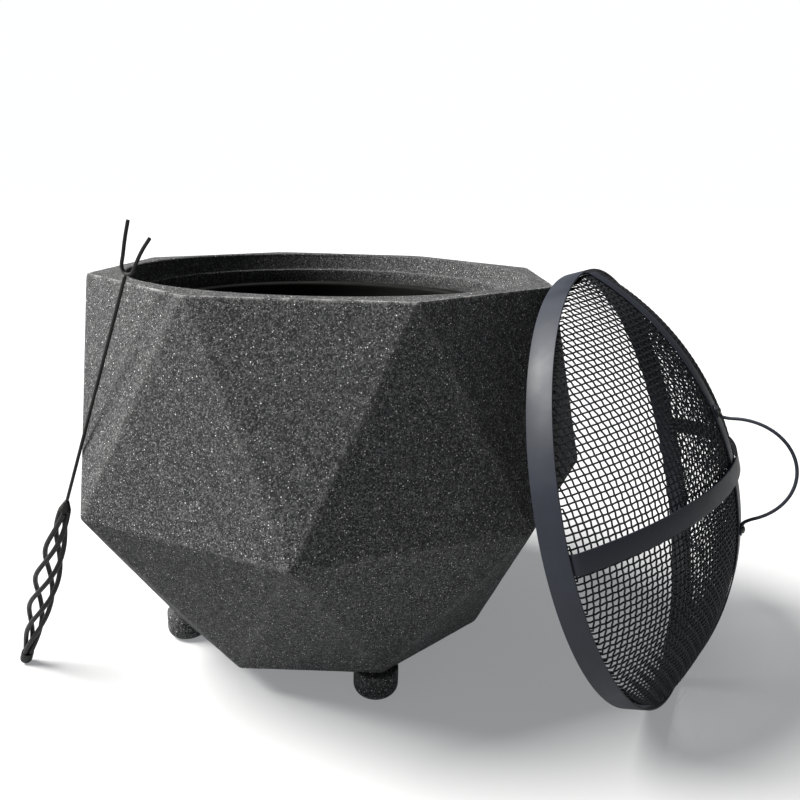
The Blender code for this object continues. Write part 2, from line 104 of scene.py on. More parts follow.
# Light: the sun's bearing, height and softness are in degrees
SUN_BEARING, SUN_HEIGHT, SUN_SOFTNESS, SUN_POWER = 177, 49, 32, 14.5
SKY_RIGHT, SKY_LEFT, SKY_SEEN, FLOOR_GLOW = 0.105, 0.35, 1.05, 0.26

# Camera: its place from the pot, and its yaw, pitch and roll in degrees
CAMERA_PLACE = POT + Vector((0.0956, -0.8419, 0.5155))
CAMERA_TURN = (-0.878, 15.678, 1.559)
CAMERA_LENS, CAMERA_SENSOR = 33.153, 36.0


# -------- node trees


class Tree:
    """A material's node tree, built by short calls. A socket given as a number is set, not linked."""

    def __init__(self, name):
        self.material = bpy.data.materials.new(name)
        self.material.use_nodes = True
        self.nodes = self.material.node_tree.nodes
        self.links = self.material.node_tree.links
        self.shader = self.nodes["Principled BSDF"]
        self.place = self.add("ShaderNodeTexCoord").outputs["Object"]

    def add(self, kind, **settings):
        """A node with its settings."""
        node = self.nodes.new(kind)
        for key, value in settings.items():
            setattr(node, key, value)
        return node

    def put(self, socket, value):
        """Link or set a socket."""
        if isinstance(value, bpy.types.NodeSocket):
            self.links.new(value, socket)
        else:
            socket.default_value = value

    def noise(self, scale, detail=2.0, rough=0.5, distortion=0.0):
        """Noise between about 0 and 1, with features 1/scale metres wide."""
        node = self.add("ShaderNodeTexNoise")
        self.links.new(self.place, node.inputs["Vector"])
        node.inputs["Scale"].default_value = scale
        node.inputs["Detail"].default_value = detail
        node.inputs["Roughness"].default_value = rough
        node.inputs["Distortion"].default_value = distortion
        return node.outputs["Fac"]

    def cells(self, scale):
        """Distance to the nearest cell centre, and two random numbers of the cell's own."""
        node = self.add("ShaderNodeTexVoronoi")
        self.links.new(self.place, node.inputs["Vector"])
        node.inputs["Scale"].default_value = scale
        parts = self.add("ShaderNodeSeparateColor")
        self.links.new(node.outputs["Color"], parts.inputs["Color"])
        return node.outputs["Distance"], parts.outputs["Red"], parts.outputs["Green"]

    def dots(self, scale, share, widest, narrowest, rim):
        """Dots on a share of the cells, of widest to narrowest radius, and each cell's random number."""
        distance, pick, chance = self.cells(scale)
        size = self.span(pick, 0.0, share, widest, narrowest, smooth=False)
        size = self.maths("MULTIPLY", size, self.maths("LESS_THAN", pick, share))
        return self.span(self.maths("SUBTRACT", size, distance), *rim), chance

    def span(self, value, low, high, to_low=0.0, to_high=1.0, smooth=True):
        """Map low..high to to_low..to_high, clamped."""
        node = self.add("ShaderNodeMapRange")
        if smooth:
            node.interpolation_type = "SMOOTHSTEP"
        self.links.new(value, node.inputs["Value"])
        node.inputs["From Min"].default_value = low
        node.inputs["From Max"].default_value = high
        node.inputs["To Min"].default_value = to_low
        node.inputs["To Max"].default_value = to_high
        return node.outputs["Result"]

    def maths(self, operation, first, second):
        """A Math node."""
        node = self.add("ShaderNodeMath", operation=operation)
        for socket, value in zip(node.inputs, (first, second)):
            self.put(socket, value)
        return node.outputs["Value"]

    def mix(self, factor, first, second):
        """Mix two colours."""
        node = self.add("ShaderNodeMix", data_type="RGBA")
        self.put(node.inputs["Factor"], factor)
        self.put(node.inputs["A"], first)
        self.put(node.inputs["B"], second)
        return node.outputs["Result"]

    def attribute(self, name):
        """A number stored on the mesh."""
        return self.add("ShaderNodeAttribute", attribute_name=name).outputs["Fac"]

    def facing_up(self):
        """How far a surface faces up, from -1 to 1."""
        node = self.add("ShaderNodeNewGeometry")
        parts = self.add("ShaderNodeSeparateXYZ")
        self.links.new(node.outputs["Normal"], parts.inputs["Vector"])
        return parts.outputs["Z"]

    def bump(self, height, depth, before=None):
        """A bump of that depth in metres, over an earlier one."""
        node = self.add("ShaderNodeBump")
        node.inputs["Strength"].default_value = 1.0
        node.inputs["Distance"].default_value = depth
        self.links.new(height, node.inputs["Height"])
        if before is not None:
            self.links.new(before, node.inputs["Normal"])
        return node.outputs["Normal"]

    def finish(self, colour, roughness, normal, metallic=0.0, specular=0.5):
        """Wire up the shader."""
        self.put(self.shader.inputs["Base Color"], colour)
        self.put(self.shader.inputs["Roughness"], roughness)
        self.shader.inputs["Metallic"].default_value = metallic
        self.shader.inputs["Specular IOR Level"].default_value = specular
        self.put(self.shader.inputs["Normal"], normal)
        return self.material


def grey(value, warm=0.0):
    """A near-grey colour."""
    return (value * (1 + warm), value, value * (1 - warm), 1.0)


# Cement's grains and specks, as cells per metre. A speck also has its largest radius in cells, the
# share of cells that have one, and its darkest and brightest grey. The smallest is a share of the largest
GRAINS, DARK_GRAIN, PALE_GRAIN = 760, (0.0022, 0.0024, 0.0028, 1), (0.1180, 0.1190, 0.1215, 1)
BLUE_GRAIN = (0.022, 0.026, 0.032, 1)
SPECKS = ((520, 0.34, 0.36, 0.20, 0.85), (820, 0.42, 0.36, 0.13, 0.50))
SMALLEST_SPECK = 0.35


def stone_material():
    """Charcoal cement: packed dark and pale grains, white specks, pits darkened as painted shade, edges paled
    as a painted highlight (on the ridges also wear), and painted shade deep in the mouth.
    """
    t = Tree("stone_cast")
    blotch = t.noise(11, 4.0, 0.6)
    clumps = t.noise(170, 2.0, 0.6)
    fine = t.noise(1500, 2.0, 0.6)
    distance, tone, tint = t.cells(GRAINS)
    base = t.mix(t.maths("POWER", tone, 2.2), DARK_GRAIN, PALE_GRAIN)
    base = t.mix(t.span(tint, 0.55, 1.0, 0.0, 0.35), base, BLUE_GRAIN)
    base = t.mix(t.span(clumps, 0.35, 0.7, 0.0, 0.16), base, grey(0.011))
    base = t.mix(t.span(blotch, 0.3, 0.75, 0.0, 0.14), base, grey(0.030, -0.04))
    base = t.mix(t.span(fine, 0.45, 0.75, 0.0, 0.25), base, grey(0.060, -0.02))
    grain = t.maths("MULTIPLY", t.span(distance, 0.55, 0.1), t.span(tone, 0.0, 1.0, 0.3, 1.0))
    height = grain
    for scale, radius, share, low, high in SPECKS:
        speck, bright = t.dots(scale, share, radius, radius * SMALLEST_SPECK, (-0.02, 0.08))
        shade = t.mix(t.maths("POWER", bright, 1.9), grey(low, -0.02), grey(high))
        base = t.mix(speck, base, shade)
        height = t.maths("MAXIMUM", height, speck)
    # Pits: hollows in the bump, darkened as painted shade
    pit, _ = t.dots(330, 0.45, 0.34, 0.12, (0.0, 0.12))
    base = t.mix(t.maths("MULTIPLY", pit, 0.85), base, grey(0.003))
    # Painted highlight: the rim's outer edge paled, and the ridges faintly paled, partly as wear
    edge = t.maths("MULTIPLY", t.attribute("edge"), t.span(t.noise(90, 3.0, 0.7), 0.35, 0.75))
    base = t.mix(t.maths("MULTIPLY", edge, 0.9), base, grey(0.34, 0.01))
    # Painted shade: the mouth darkened deeper down, past the step
    base = t.mix(t.maths("MULTIPLY", t.attribute("mouth_shade"), 0.85), base, grey(0.005))
    roughness = t.span(clumps, 0.3, 0.7, 0.80, 0.95)
    normal = t.bump(blotch, 0.0010)
    normal = t.bump(t.noise(45, 3.0, 0.55), 0.0004, normal)
    normal = t.bump(clumps, 0.00025, normal)
    normal = t.bump(t.maths("SUBTRACT", height, pit), 0.0011, normal)
    return t.finish(base, roughness, normal, specular=0.25)


def paint_material(name, colour, roughness, peel, specular):
    """Powder-coated steel: orange peel of that depth, faint smears and a few pale flecks."""
    t = Tree(name)
    r, g, b = colour
    patches = t.noise(18, 4.0, 0.6)
    base = t.mix(t.span(patches, 0.3, 0.75), (r, g, b, 1), (r * 1.45, g * 1.42, b * 1.38, 1))
    fine = t.noise(1500, 2.0, 0.6)
    base = t.mix(t.span(fine, 0.55, 0.8, 0.0, 0.35), base, (r * 2.3, g * 2.3, b * 2.2, 1))
    fleck, _ = t.dots(330, 0.05, 0.16, 0.0, (0.0, 0.05))
    base = t.mix(t.maths("MULTIPLY", fleck, 0.4), base, grey(0.12))
    rough = t.span(patches, 0.3, 0.75, roughness - 0.05, roughness + 0.09)
    normal = t.bump(t.noise(650, 2.0, 0.5), peel)
    normal = t.bump(t.noise(40, 2.0, 0.5), peel * 5, normal)
    return t.finish(base, rough, normal, specular=specular)


def burnt_material(name, tone, rust, ash, specular):
    """Black heat-proof paint over steel, dulled by fire: smoke-blackened patches, faint rust and grey ash."""
    t = Tree(name)
    patches = t.noise(22, 5.0, 0.65)
    base = t.mix(t.span(patches, 0.35, 0.7), grey(tone * 0.6), grey(tone * 1.5, 0.02))
    bloom = t.span(t.noise(70, 6.0, 0.75, distortion=0.4), 0.56, 0.78, 0.0, rust)
    base = t.mix(bloom, base, (0.075, 0.032, 0.016, 1))
    up = t.span(t.facing_up(), 0.2, 1.0)
    film = t.maths("MULTIPLY", up, t.span(t.noise(120, 5.0, 0.7), 0.42, 0.8, 0.0, ash))
    base = t.mix(film, base, grey(0.10, 0.02))
    rough = t.span(patches, 0.3, 0.75, 0.68, 0.88)
    normal = t.bump(t.noise(420, 4.0, 0.6), 0.00018)
    normal = t.bump(patches, 0.0005, normal)
    return t.finish(base, rough, normal, specular=specular)


def iron_material():
    """Black forged iron with hammer marks and paler scale."""
    t = Tree("poker_black_iron")
    marks = t.noise(260, 3.0, 0.6)
    base = t.mix(t.span(marks, 0.3, 0.7), grey(0.0025, -0.03), grey(0.0070, -0.03))
    scale = t.noise(900, 2.0, 0.6)
    base = t.mix(t.span(scale, 0.6, 0.85, 0.0, 0.5), base, grey(0.022, -0.03))
    rough = t.span(marks, 0.3, 0.7, 0.42, 0.60)
    normal = t.bump(marks, 0.00035)
    normal = t.bump(scale, 0.00008, normal)
    return t.finish(base, rough, normal, specular=0.25)


def screw_material():
    """Blackened screws with brighter rubbed places."""
    t = Tree("screw_black_oxide")
    rub = t.noise(700, 3.0, 0.6)
    base = t.mix(t.span(rub, 0.45, 0.75), grey(0.030), grey(0.16))
    rough = t.span(rub, 0.3, 0.7, 0.42, 0.28)
    normal = t.bump(t.noise(1500, 2.0, 0.5), 0.00005)
    return t.finish(base, rough, normal, metallic=0.85)


def make_materials():
    """Every material, by the record's slot."""
    return {
        "stone": stone_material(),
        "bowl_steel": burnt_material("bowl_black_steel", 0.0025, 0.04, 0.05, 0.06),
        "grate_iron": burnt_material("grate_black_steel", 0.008, 0.5, 0.3, 0.2),
        "screen_paint": paint_material("screen_powder_coat", (0.0085, 0.0105, 0.0160), 0.52, 0.00006, 0.22),
        "mesh_wire": paint_material("mesh_black_wire", (0.0050, 0.0058, 0.0078), 0.55, 0.00004, 0.2),
        "poker_iron": iron_material(),
        "screw_steel": screw_material(),
    }


# -------- pieces


def link(name, data, slot, body, replaced=(), place=None):
    """A finished piece: in the scene, with its material, riding on its CAD body."""
    if place is not None:
        data.transform(place)
    obj = bpy.data.objects.new(name, data)
    bpy.context.scene.collection.objects.link(obj)
    data.materials.clear()
    data.materials.append(MATERIALS[slot])
    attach(obj, body)
    if replaced:
        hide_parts(*replaced)


def grid_mesh(name, rows, closed_rows=False):
    """A smooth mesh over rows of points that each close on themselves."""
    rows = np.asarray(rows)
    count, around = rows.shape[:2]
    i = np.arange(count if closed_rows else count - 1)[:, None]
    j = np.arange(around)[None, :]
    low, high = i * around, (i + 1) % count * around
    ahead = (j + 1) % around
    faces = np.stack([low + j, low + ahead, high + ahead, high + j], -1).reshape(-1, 4)
    mesh = bpy.data.meshes.new(name)
    mesh.from_pydata(rows.reshape(-1, 3).tolist(), [], faces.tolist())
    mesh.shade_smooth()
    return mesh


def capped(mesh, around):
    """Close a grid mesh's first and last rows, of that many points, with flat faces."""
    tool = bmesh.new()
    tool.from_mesh(mesh)
    tool.verts.ensure_lookup_table()
    points = list(tool.verts)
    for ring in (points[:around][::-1], points[-around:]):
        tool.faces.new(ring)
    bmesh.ops.recalc_face_normals(tool, faces=tool.faces)
    tool.to_mesh(mesh)
    tool.free()


def lathe(profile, around):
    """Rows of points for a profile of (radius, height) turned about Z."""
    angles = np.arange(around) * TURN / around
    unit = np.stack([np.cos(angles), np.sin(angles)], -1)
    profile = np.asarray(profile, float)
    flat = profile[:, 0][:, None, None] * unit[None]
    height = np.broadcast_to(profile[:, 1][:, None, None], flat.shape[:2] + (1,))
    return np.concatenate([flat, height], -1)


def rounded(profile, radius, count=3, closed=False):
    """A profile with its corners rounded."""
    points = [Vector(p) for p in profile]
    out = []
    size = len(points)
    for i, point in enumerate(points):
        if not closed and i in (0, size - 1):
            out.append(tuple(point))
            continue
        before, after = points[i - 1], points[(i + 1) % size]
        reach = min(radius, (before - point).length * 0.45, (after - point).length * 0.45)
        start = point + (before - point).normalized() * reach
        end = point + (after - point).normalized() * reach
        for k in range(count + 1):
            f = k / count
            out.append(tuple(start.lerp(point, f).lerp(point.lerp(end, f), f)))
    return out


def tube_rows(path, radius, sides, closed=False):
    """Rings of points round a path, without twist. Radius may be one number or one for each point."""
    path = np.asarray(path, float)
    count = len(path)
    if closed:
        tangent = np.roll(path, -1, 0) - np.roll(path, 1, 0)
    else:
        tangent = np.gradient(path, axis=0)
    tangent /= np.linalg.norm(tangent, axis=1)[:, None]
    normal = np.cross(tangent[0], (0.0, 0.0, 1.0))
    if np.linalg.norm(normal) < 0.2:
        normal = np.cross(tangent[0], (1.0, 0.0, 0.0))
    sizes = np.broadcast_to(radius, (count,))
    angles = np.arange(sides) * TURN / sides
    rows = []
    for i in range(count):
        normal = normal - tangent[i] * (normal @ tangent[i])
        normal /= np.linalg.norm(normal)
        side = np.cross(tangent[i], normal)
        ring = np.cos(angles)[:, None] * normal + np.sin(angles)[:, None] * side
        rows.append(path[i] + sizes[i] * ring)
    return np.array(rows)


def tube(name, path, radius, sides=16, closed=False):
    """A solid wire along a path, with eased ends unless it is a closed loop."""
    path = np.asarray(path, float)
    sizes = np.full(len(path), radius)
    if not closed:
        path, sizes = eased_ends(path, sizes)
    mesh = grid_mesh(name, tube_rows(path, sizes, sides, closed), closed)
    if not closed:
        capped(mesh, sides)
        mesh.shade_smooth()
    return mesh


def eased_ends(path, sizes):
    """Add two points at each end of a wire that round its edge off."""
    for end in (0, -1):
        near = path[1] if end == 0 else path[-2]
        tip, size = path[end].copy(), sizes[end]
        inward = (near - tip) / np.linalg.norm(near - tip)
        extra = [tip + inward * size * k for k in (0.0, 0.12, 0.4)]
        width = [size * k for k in (0.62, 0.86, 1.0)]
        if end == 0:
            path = np.concatenate([extra, path[1:]])
            sizes = np.concatenate([width, sizes[1:]])
        else:
            path = np.concatenate([path[:-1], extra[::-1]])
            sizes = np.concatenate([sizes[:-1], width[::-1]])
    return path, sizes


def join_meshes(name, meshes):
    """One mesh out of several."""
    tool = bmesh.new()
    for mesh in meshes:
        tool.from_mesh(mesh)
        bpy.data.meshes.remove(mesh)
    joined = bpy.data.meshes.new(name)
    tool.to_mesh(joined)
    tool.free()
    return joined


# -------- pot


def pot_planes():
    """Unit normals and offsets of the pot's faces, about the pot's own axis."""
    half = STEP / 2

    def corner(radius, height, k, start):
        angle = start + k * STEP
        return np.array((radius * math.cos(angle), radius * math.sin(angle), height))

    normals, offsets = [], []
    for k in range(SIDES):
        waist = corner(WAIST_RADIUS, WAIST_Z, k, 0), corner(WAIST_RADIUS, WAIST_Z, k + 1, 0)
        for radius, height in ((RIM_RADIUS, RIM_Z), (BASE_RADIUS, BASE_Z)):
            here = corner(radius, height, k, half)
            there = corner(radius, height, k + 1, half)
            for a, b, c in ((waist[0], waist[1], here), (here, there, waist[1])):
                normal = np.cross(b - a, c - a)
                normal /= np.linalg.norm(normal)
                if normal @ (a - (0, 0, WAIST_Z)) < 0:
                    normal = -normal
                normals.append(normal)
                offsets.append(normal @ a)
    normals += [np.array((0, 0, 1.0)), np.array((0, 0, -1.0))]
    offsets += [RIM_Z, -BASE_Z]
    return np.array(normals), np.array(offsets)


def soft_hull(points, planes):
    """Signed height over the rounded hull, and how near each point is to an edge."""
    normals, offsets = planes
    heights = points @ normals.T - offsets
    top = heights.max(-1)
    blend = top + EDGE_SOFTNESS * np.log(np.exp((heights - top[..., None]) / EDGE_SOFTNESS).sum(-1))
    order = np.partition(heights, -2, axis=-1)
    edge = np.exp(-(order[..., -1] - order[..., -2]) / EDGE_REACH)
    return blend, edge


def ring_apothem(radius, azimuth):
    """How far out the straight side of an eight-sided ring is at an azimuth."""
    middle = np.round(azimuth / STEP) * STEP
    return radius * math.cos(STEP / 2) / np.cos(azimuth - middle)


def ridge_azimuths(radius, height):
    """Where a ridge from a waist corner to a ring's corner is, as (share of the tilt, azimuth)."""
    along = np.linspace(0, 1, 80)
    corner = np.array((math.cos(STEP / 2), math.sin(STEP / 2))) * radius
    flat = np.outer(1 - along, (WAIST_RADIUS, 0)) + np.outer(along, corner)
    azimuth = np.arctan2(flat[:, 1], flat[:, 0])
    rise = abs(height - WAIST_Z)
    tilt = np.arctan2(rise * along, np.linalg.norm(flat, axis=1))
    return tilt / np.arctan2(rise, ring_apothem(radius, azimuth)), azimuth


def gathered(ridge, columns):
    """Azimuths of one side's columns, drawn together near its two ridges."""
    pull, width = 5.0, 0.022
    fine = np.linspace(0, STEP, 2000)
    near = np.exp(-(((fine - ridge) / width) ** 2))
    far = np.exp(-(((fine - STEP + ridge) / width) ** 2))
    crowd = 1 + pull * (near + far)
    total = np.concatenate([[0], np.cumsum((crowd[1:] + crowd[:-1]) / 2)])
    return np.interp(np.arange(columns) / columns, total / total[-1], fine)


def outside_rays(around, rows):
    """Azimuth and tilt of every ray, in rows that follow the ring edges and columns near the ridges."""
    bend = np.linspace(0, 1, rows) ** 0.8
    climb = np.concatenate([0.12 * bend**1.5, 0.12 + 0.8 * np.linspace(0, 1, rows)[1:]])
    close = 1 - 0.08 * (1 - np.linspace(0, 1, rows // 2)[1:]) ** 2
    climb = np.concatenate([climb, close])
    azimuths, tilts = [], []
    for shares, radius, height in ((-climb[::-1], BASE_RADIUS, BASE_Z), (climb[1:], RIM_RADIUS, RIM_Z)):
        table = ridge_azimuths(radius, height)
        for share in shares:
            side = gathered(np.interp(abs(share), *table), around // SIDES)
            azimuth = (side[None, :] + np.arange(SIDES)[:, None] * STEP).reshape(-1)
            tilt = np.arctan2(abs(height - WAIST_Z), ring_apothem(radius, azimuth)) * share
            azimuths.append(azimuth)
            tilts.append(tilt)
    return np.array(azimuths), np.array(tilts)


def meet_hull(azimuths, tilts, planes):
    """Where rays from the pot's middle meet its rounded outside."""
    up = np.array((0, 0, 1.0))
    flat = np.stack([np.cos(azimuths), np.sin(azimuths), np.zeros_like(azimuths)], -1)
    directions = np.cos(tilts)[..., None] * flat + np.sin(tilts)[..., None] * up
    centre = np.array((0, 0, WAIST_Z))
    reach, halvings = 0.45, 26
    low, high = np.zeros(tilts.shape), np.full(tilts.shape, reach)
    for _ in range(halvings):
        middle = (low + high) / 2
        outside = soft_hull(centre + middle[..., None] * directions, planes)[0] > 0
        high = np.where(outside, middle, high)
        low = np.where(outside, low, middle)
    points = centre + low[..., None] * directions
    return points, soft_hull(points, planes)[1]


def relief(points, inward, waves):
    """Push points inwards by smooth noise, given as (size, depth) pairs, never outwards."""
    flat = points.reshape(-1, 3)
    push = np.zeros(len(flat))
    for size, depth in waves:
        values = np.array([noise.noise(Vector(p) / size) for p in flat])
        push += depth * (0.5 + 0.5 * values)
    return points + (push[:, None] * inward.reshape(-1, 3)).reshape(points.shape)


def mouth_rows(around):
    """Rings from the rim's top face down the stepped mouth to the throat's lower edge."""
    step_z, shelf_z = RIM_Z - STEP_DEPTH, RIM_Z - SHELF_DEPTH
    inner = STEP_RADIUS - STEP_WIDTH
    lip = MOUTH_RADIUS + MOUTH_LIP
    profile = [(RIM_LAND, RIM_Z), (lip, RIM_Z)]
    for k in range(1, 7):
        angle = math.pi / 2 * k / 6
        profile.append((lip - MOUTH_LIP * math.sin(angle), RIM_Z - MOUTH_LIP * (1 - math.cos(angle))))
    corners = [
        (MOUTH_RADIUS, RIM_Z - MOUTH_LIP),
        (STEP_RADIUS, step_z),
        (inner, step_z - 0.0005),
        (SHELF_RADIUS, shelf_z),
        (THROAT_RADIUS, shelf_z),
        (THROAT_RADIUS, shelf_z - WALL),
    ]
    dense = []
    for a, b in zip(corners, corners[1:]):
        steps = max(1, round(math.dist(a, b) / 0.004))
        dense += [tuple(np.array(a) + (np.array(b) - a) * i / steps) for i in range(steps)]
    dense.append(corners[-1])
    profile += soften(dense, corners[1:-1], 0.0011)[1:]
    return lathe(profile, around)


def soften(points, corners, radius):
    """Round the named corners of a dense profile."""
    out = []
    for i, p in enumerate(points):
        if not any(math.dist(p, corner) < 1e-9 for corner in corners):
            out.append(p)
            continue
        before, here, after = Vector(points[i - 1]), Vector(p), Vector(points[i + 1])
        start = here + (before - here).normalized() * radius
        end = here + (after - here).normalized() * radius
        for k in range(4):
            f = k / 3
            out.append(tuple(start.lerp(here, f).lerp(here.lerp(end, f), f)))
    return out


def flat_rows(outer, radius, height, count):
    """Rings on a flat face, from a ring of the outside to a circle."""
    around = outer.shape[0]
    circle = lathe([(radius, height)], around)[0]
    parts = (np.arange(1, count) / count)[:, None, None]
    rows = outer[None] * (1 - parts) + circle[None] * parts
    rows[..., 2] = np.clip(rows[..., 2], BASE_Z, RIM_Z)
    return rows


def make_pot():
    """The cast pot: crisp facets, an uneven surface, and the stepped mouth."""
    around, rows = ((POT_AROUND, POT_ROWS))
    azimuths, tilts = outside_rays(around, rows)
    outer, edge = meet_hull(azimuths, tilts, pot_planes())
    inward = np.array((0, 0, WAIST_Z)) - outer
    inward /= np.linalg.norm(inward, axis=-1)[..., None]
    outer = relief(outer, inward, WAVES)
    mouth = mouth_rows(around)
    top = flat_rows(outer[-1], RIM_LAND, RIM_Z - 0.0003, 5)
    base = flat_rows(outer[0], 0.02, BASE_Z + 0.0003, 12)[::-1]
    inside = hidden_rows(around)
    points = np.concatenate([base, outer, top, mouth, inside])
    first, last = len(base), len(base) + len(outer)
    # Edge paleness for the stone: a painted highlight, faint on the ridges (with some wear) and full along
    # the rim's outer edge
    near = np.zeros(points.shape[:2])
    near[first:last] = edge * RIDGE_WEAR_AND_HIGHLIGHT
    rim = points[first:last, :, 2] > RIM_Z - RIM_HIGHLIGHT_DEPTH
    near[first:last][rim] = edge[rim]
    # Painted shade: darker deeper into the mouth below the step, towards the shelf and throat
    mouth_shade = np.zeros(points.shape[:2])
    mouth_shade[last:] = np.clip(((RIM_Z - points[last:, :, 2]) / SHELF_DEPTH - 0.62) / 0.5, 0, 1)
    mesh = grid_mesh("pot_cast", points + np.array(POT))
    capped(mesh, around)
    mesh.shade_smooth()
    for name, values in (("edge", near), ("mouth_shade", mouth_shade)):
        attribute = mesh.attributes.new(name, "FLOAT", "POINT")
        attribute.data.foreach_set("value", values.reshape(-1).astype(np.float32))
    link("pot_cast", mesh, "stone", "pot", ["pot_shell"])


def hidden_rows(around):
    """Rings of the pot's hollow under the shelf, which the fire bowl hides."""
    normals, offsets = pot_planes()
    top = RIM_Z - SHELF_DEPTH - WALL
    start, end, rows = math.atan((top - WAIST_Z) / (THROAT_RADIUS + WALL)), -1.45, 26
    azimuths = np.tile(np.arange(around) * TURN / around, (rows, 1))
    tilts = np.tile(np.linspace(start, end, rows)[:, None], (1, around))
    inner = meet_hull(azimuths, tilts, (normals, offsets - WALL))[0]
    inner[..., 2] = np.minimum(inner[..., 2], top - 0.001)
    return inner


def make_feet():
    """Cast round feet with a softly rounded bottom."""
    profile = [(0.0005, BASE_Z - 0.0004), (FOOT_RADIUS - 0.0012, BASE_Z - 0.0004)]
    profile += [(FOOT_RADIUS - 0.0003, BASE_Z - 0.0012), (FOOT_RADIUS - 0.0001, BASE_Z - 0.004)]
    profile += [(FOOT_RADIUS - 0.0001, 0.016), (FOOT_RADIUS - 0.0001, FOOT_ROUNDING)]
    for k in range(1, 13):
        angle = math.pi / 2 * k / 12
        radius = FOOT_RADIUS - FOOT_ROUNDING * (1 - math.cos(angle))
        profile.append((radius - 0.0001, FOOT_ROUNDING * (1 - math.sin(angle)) + 0.0001))
    profile += [(0.006, 0.0001), (0.0005, 0.0001)]
    for k, name in enumerate(("right", "back", "left", "front")):
        angle = STEP / 2 + 2 * k * STEP
        rows = lathe(profile, FOOT_AROUND)
        rows = rows + np.array((FOOT_CIRCLE * math.cos(angle), FOOT_CIRCLE * math.sin(angle), 0))
        rows = rows + np.array(POT)
        mesh = grid_mesh("foot_cast_" + name, rows)
        capped(mesh, FOOT_AROUND)
        smooth_by_angle(mesh, 50)
        link("foot_cast_" + name, mesh, "stone", "pot", ["foot_" + name])


def smooth_by_angle(mesh, degrees):
    """Smooth shading with edges sharper than the angle kept."""
    mesh.shade_smooth()
    mesh.set_sharp_from_angle(angle=math.radians(degrees))


# -------- fire bowl and grate


def bowl_line(offset):
    """Side view of the fire bowl's steel, offset to one side of its middle."""
    points = [(BOWL_FLANGE, BOWL_TOP + offset), (BOWL_MOUTH + 0.0045, BOWL_TOP + offset)]
    centre = (BOWL_MOUTH + BOWL_BEND, BOWL_TOP - BOWL_BEND)
    for k in range(7):
        angle = math.radians(97 + 83 * k / 6)
        reach = BOWL_BEND + offset
        points.append((centre[0] + reach * math.cos(angle), centre[1] + reach * math.sin(angle)))
    for k in range(BOWL_ROWS + 1):
        angle = math.pi / 2 * k / BOWL_ROWS
        wide, deep = BOWL_MOUTH - BOWL_FLOOR_RADIUS - offset, BOWL_DEPTH - offset
        radius = BOWL_FLOOR_RADIUS + wide * math.cos(angle)
        points.append((radius, BOWL_TOP - BOWL_NECK - deep * math.sin(angle)))
    points.append((0.0005, points[-1][1]))
    return points


def make_bowl():
    """The pressed bowl, with a fine rounded edge to its flange."""
    half = BOWL_STEEL / 2 - DEEP_INSET
    upper, lower = bowl_line(half), bowl_line(-half)
    edge = [(BOWL_FLANGE - half * (1 - math.sin(a)) - INSET, BOWL_TOP - half * math.cos(a))
            for a in (math.pi * k / 6 for k in range(7))]
    profile = list(reversed(lower))[:-1] + edge + upper[1:]
    mesh = grid_mesh("fire_bowl_steel", lathe(profile, BOWL_AROUND) + np.array(POT))
    capped(mesh, BOWL_AROUND)
    smooth_by_angle(mesh, 50)
    link("fire_bowl_steel", mesh, "bowl_steel", "fire_bowl", ["fire_bowl"])


def straight(start, end, count=8):
    """Points along a line."""
    start, end = np.array(start, float), np.array(end, float)
    return [start + (end - start) * i / count for i in range(count + 1)]


def weld(place, radius, seed):
    """A small lumpy bead of weld."""
    tool = bmesh.new()
    bmesh.ops.create_icosphere(tool, subdivisions=2, radius=radius)
    for vert in tool.verts:
        lump = noise.noise(vert.co * 0.9 / radius + Vector((seed * 3.1, 0, 0)))
        vert.co *= 1 + 0.18 * lump
        vert.co += Vector(place)
    mesh = bpy.data.meshes.new("weld")
    tool.to_mesh(mesh)
    tool.free()
    mesh.shade_smooth()
    return mesh


